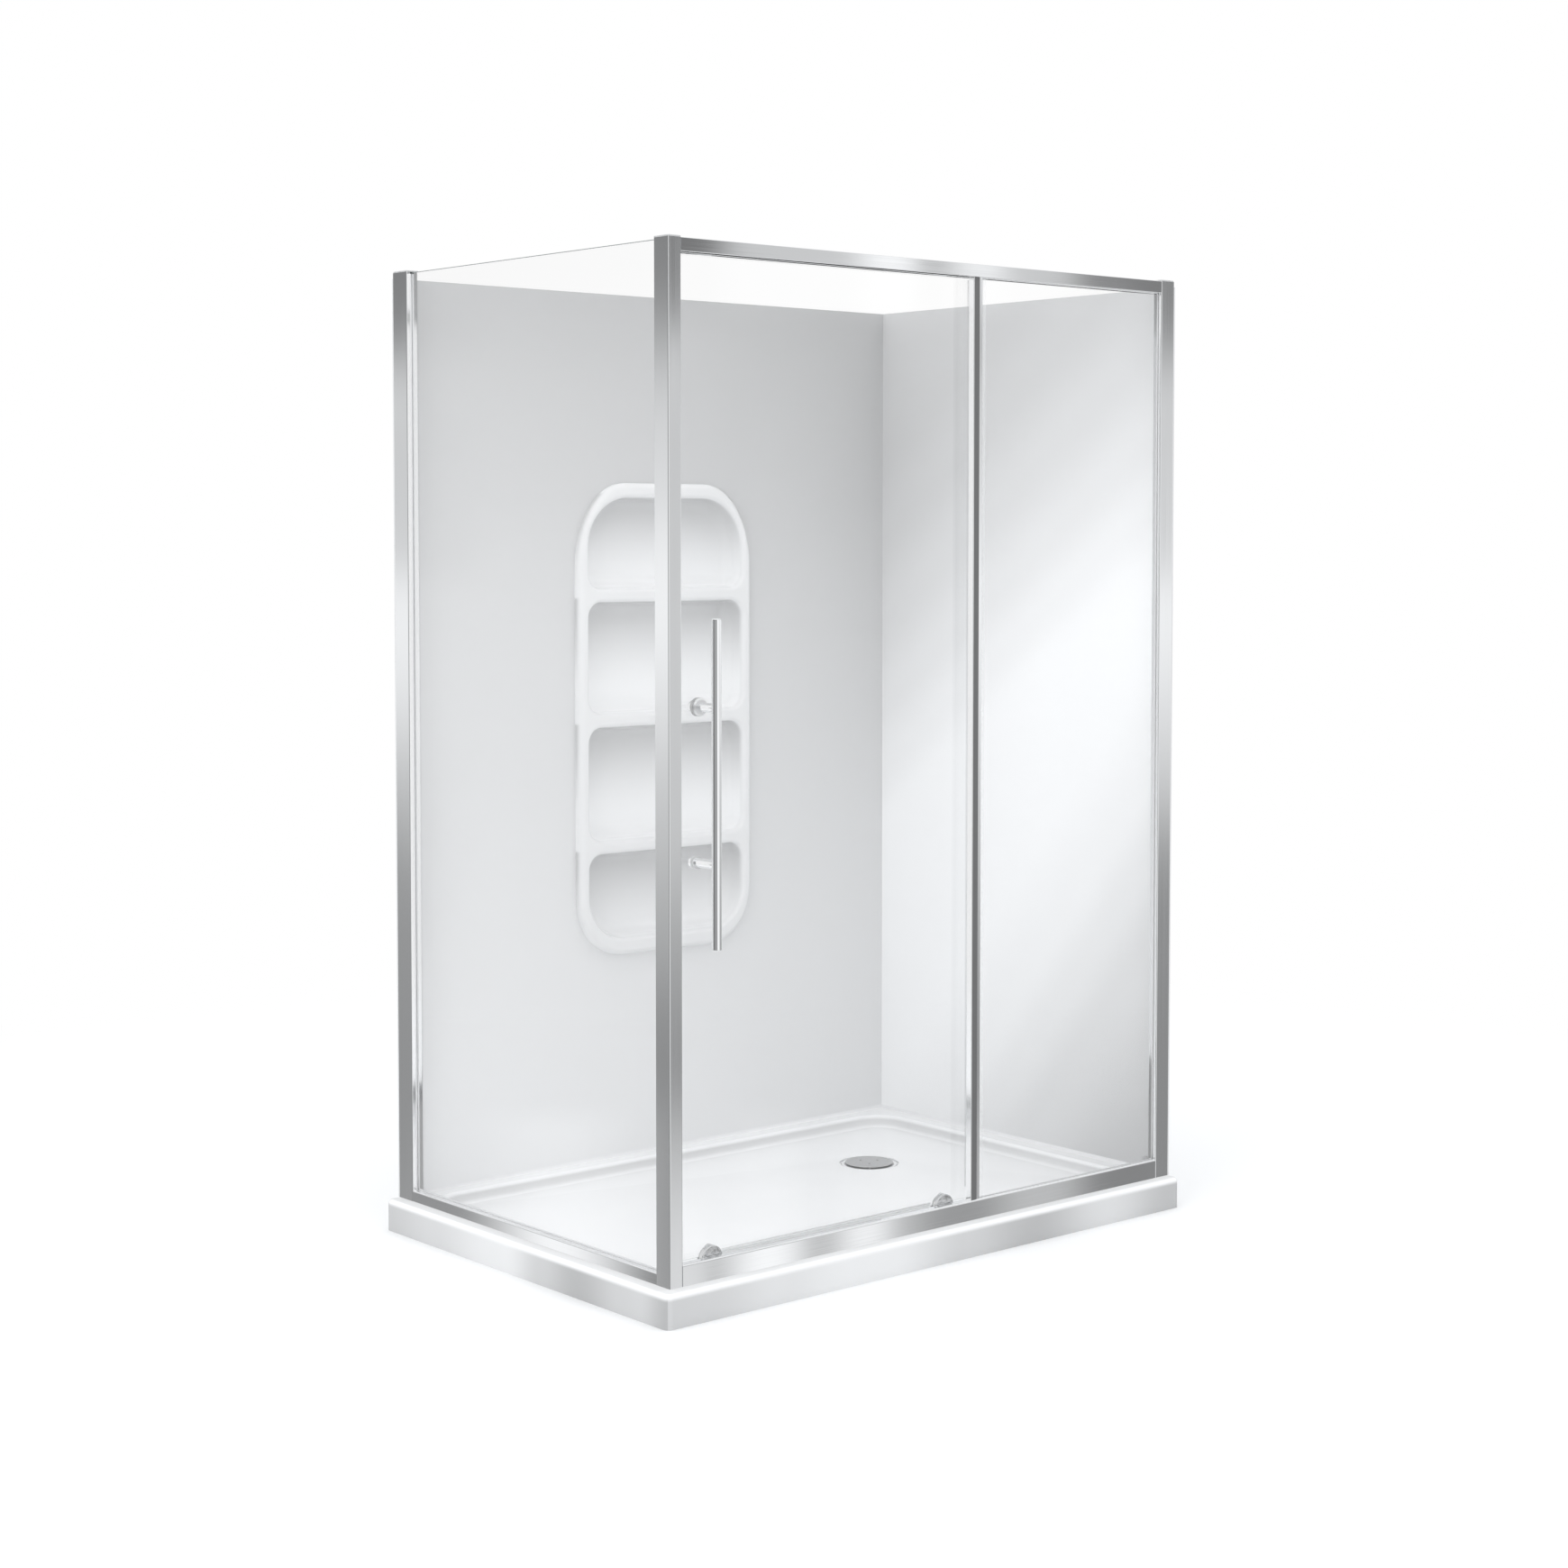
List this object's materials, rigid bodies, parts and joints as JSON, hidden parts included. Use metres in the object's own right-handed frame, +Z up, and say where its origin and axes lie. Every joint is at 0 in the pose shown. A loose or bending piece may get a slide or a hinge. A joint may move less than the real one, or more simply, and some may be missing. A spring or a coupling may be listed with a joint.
{
  "type": "shower enclosure with sliding door",
  "caption": "Rectangular corner shower enclosure: low tray, two wall liners with a moulded shelf column, return panel, fixed front panel and a bottom-rolling sliding door.",
  "frame": {"origin": "centre of the tray's outline on the floor, on the underside of the tray's base", "axes": "+Z up, the sliding door faces -Y, the glass return panel is at -X, the lined walls are at +Y and +X"},
  "size_m": [1.4, 0.9878, 1.985],
  "materials": {
    "acrylic_white": "gloss white acrylic",
    "liner_grey": "satin-gloss light grey acrylic sheet",
    "base_board": "pressed fibre board",
    "sealant_white": "satin",
    "polished_aluminium": "bright polished and anodised",
    "chrome": "polished",
    "steel": "satin stainless steel",
    "glass": "clear toughened glass, polished edges",
    "gasket_grey": "matt",
    "clear_seal": "translucent",
    "dark_insert": "satin dark grey",
    "cap_grey": "satin, metal-coloured",
    "nylon_white": "satin",
    "waste_white": "satin"
  },
  "bodies": {
    "enclosure": {"connector_blocks": "steel", "corner_post": "polished_aluminium", "corner_post_cap": "cap_grey", "edge_battens": "base_board", "fixed_gaskets": "gasket_grey", "fixed_glass": "glass", "fixed_stile": "polished_aluminium", "frame_screws": "steel", "header_rail": "polished_aluminium", "jamb_caps": "cap_grey", "jamb_left": "polished_aluminium", "jamb_right": "polished_aluminium", "jamb_screws": "steel", "moulded_shelf": "acrylic_white", "post_strike_strip": "clear_seal", "return_gaskets": "gasket_grey", "return_glass": "glass", "sealant_bead": "sealant_white", "shower_tray": "acrylic_white", "side_sill": "polished_aluminium", "sill_infill": "polished_aluminium", "sill_track": "polished_aluminium", "stile_brush_seal": "clear_seal", "stile_gasket": "clear_seal", "stile_insert": "dark_insert", "track_end_caps": "cap_grey", "track_stops": "gasket_grey", "tray_underlay": "base_board", "wall_channel_left": "polished_aluminium", "wall_channel_right": "polished_aluminium", "wall_liner_back": "liner_grey", "wall_liner_side": "liner_grey", "waste_body": "waste_white", "waste_flange": "chrome", "waste_gasket": "gasket_grey"},
    "door": {"door_glass": "glass", "door_lead_seal": "clear_seal", "door_trail_seal": "clear_seal", "door_bottom_seal": "clear_seal", "handle_bar": "chrome", "handle_stems": "chrome", "handle_rosette": "chrome", "handle_inner_nuts": "chrome", "handle_washers": "nylon_white", "carrier_housing_left": "chrome", "carrier_housing_right": "chrome", "carrier_clamp_plates": "steel", "carrier_bushes": "nylon_white", "carrier_screws": "steel", "wheel_axles": "steel", "top_guide_shoes": "nylon_white"},
    "wheel_left": {"roller_wheel_left": "nylon_white", "wheel_bearing_left": "steel"},
    "wheel_right": {"roller_wheel_right": "nylon_white", "wheel_bearing_right": "steel"},
    "cover": {"drain_cover": "chrome", "cover_pins": "chrome", "hair_strainer": "waste_white"}
  },
  "joints": [
    {"name": "door_slide", "type": "slide", "parent": "enclosure", "child": "door", "axis": [1, 0, 0], "range_m": [0, 0.51]},
    {"name": "wheel_left_spin", "type": "hinge", "parent": "door", "child": "wheel_left", "pos_m": [-0.554, -0.4125, 0.0873], "axis": [0, 1, 0], "continuous": true},
    {"name": "wheel_right_spin", "type": "hinge", "parent": "door", "child": "wheel_right", "pos_m": [0.046, -0.4125, 0.0873], "axis": [0, 1, 0], "continuous": true},
    {"name": "cover_lift", "type": "slide", "parent": "enclosure", "child": "cover", "axis": [0, 0, 1], "range_m": [0, 0.06]}
  ],
  "couplings": [
    {"joint": "wheel_left_spin", "follows": "door_slide", "rad_per_m": 94.34},
    {"joint": "wheel_right_spin", "follows": "door_slide", "rad_per_m": 94.34}
  ]
}
